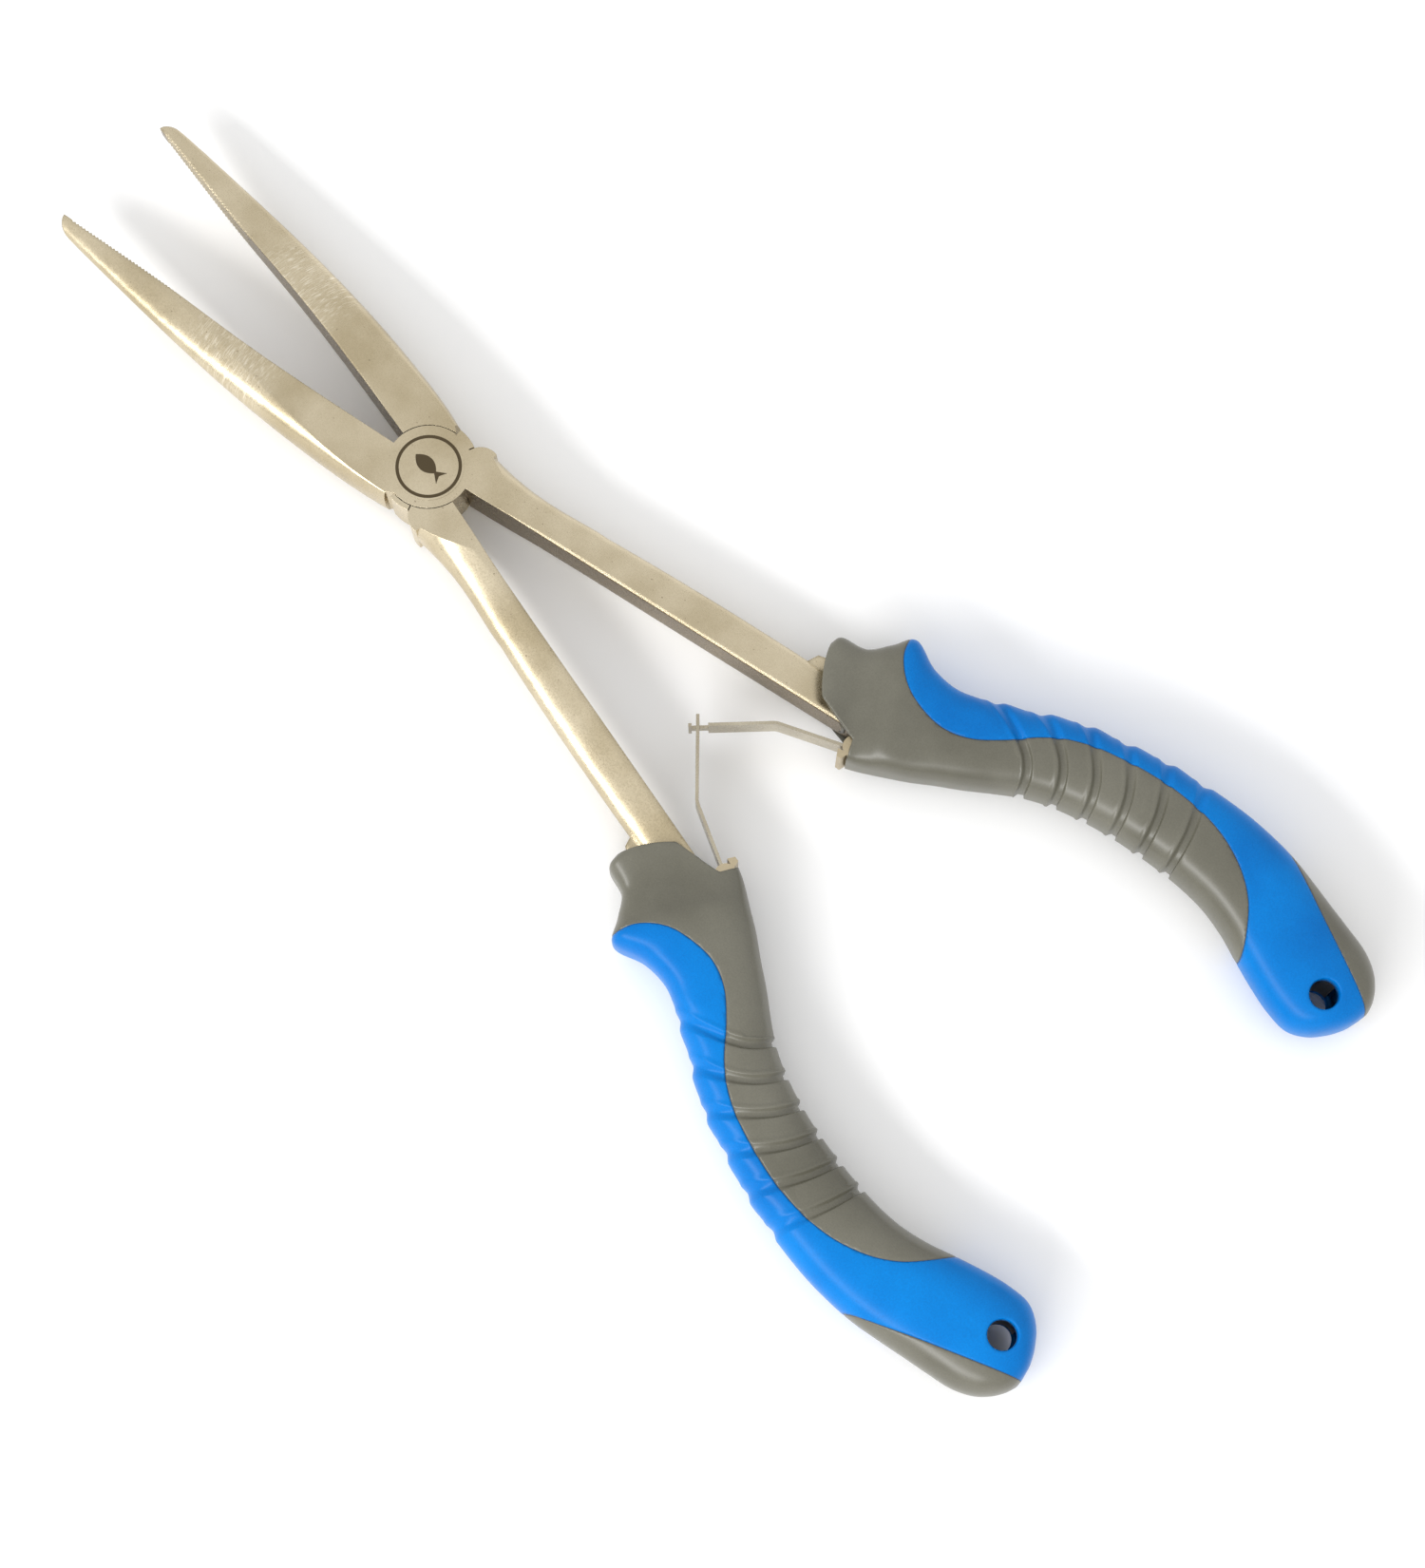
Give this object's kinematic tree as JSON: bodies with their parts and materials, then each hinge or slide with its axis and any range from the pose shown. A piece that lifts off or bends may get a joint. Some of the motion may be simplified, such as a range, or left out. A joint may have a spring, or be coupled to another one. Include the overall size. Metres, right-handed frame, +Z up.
{
  "type": "fishing pliers",
  "caption": "Long-reach needle-nose fishing pliers, lap-jointed on a flush rivet, sprung open by two hooked leaf springs, with moulded two-colour grips and lanyard holes.",
  "frame": {"origin": "on the resting plane, under the middle of the open pliers' box", "axes": "+X towards the jaw tips along the line of symmetry, +Y towards the left grip, +Z up along the pivot's axis"},
  "size_m": [0.276, 0.1154, 0.015],
  "materials": {
    "lever_steel": "satin champagne-nickel plating",
    "rivet_steel": "satin, ground flush",
    "spring_steel": "satin plated spring strip",
    "anchor_steel": "satin yellow-nickel plating",
    "core_plastic": "matte moulded black",
    "grip_grey": "semi-matte soft warm grey moulding",
    "grip_blue": "semi-matte soft blue moulding"
  },
  "bodies": {
    "left_handle": {"pivot_rivet": "rivet_steel", "left_lever": "lever_steel", "left_grip_core": "core_plastic", "left_grip_body": "grip_grey", "left_grip_band": "grip_blue", "left_grip_heel": "grip_grey", "left_spring_anchor": "anchor_steel", "left_spring_pin": "anchor_steel"},
    "right_handle": {"right_lever": "lever_steel", "right_grip_core": "core_plastic", "right_grip_body": "grip_grey", "right_grip_band": "grip_blue", "right_grip_heel": "grip_grey", "right_spring_anchor": "anchor_steel", "right_spring_pin": "anchor_steel"},
    "right_leaf": {"right_leaf_spring": "spring_steel"},
    "left_leaf": {"left_leaf_spring": "spring_steel"}
  },
  "joints": [
    {"name": "jaw_pivot", "type": "hinge", "parent": "left_handle", "child": "right_handle", "pos_m": [0.0515, 0, 0.0075], "axis": [0, 0, -1], "range_deg": [0, 16.2], "stiffness_Nm_per_rad": 1.2},
    {"name": "right_leaf_pivot", "type": "hinge", "parent": "right_handle", "child": "right_leaf", "pos_m": [-0.04061, -0.01639, 0.0075], "axis": [0, 0, -1], "range_deg": [-0.5, 22]},
    {"name": "left_leaf_pivot", "type": "hinge", "parent": "left_handle", "child": "left_leaf", "pos_m": [-0.04061, 0.01639, 0.0075], "axis": [0, 0, 1], "range_deg": [-0.5, 22]}
  ],
  "couplings": [
    {"joint": "right_leaf_pivot", "follows": "jaw_pivot", "ratio": 1.2754},
    {"joint": "left_leaf_pivot", "follows": "jaw_pivot", "ratio": 1.2754}
  ]
}
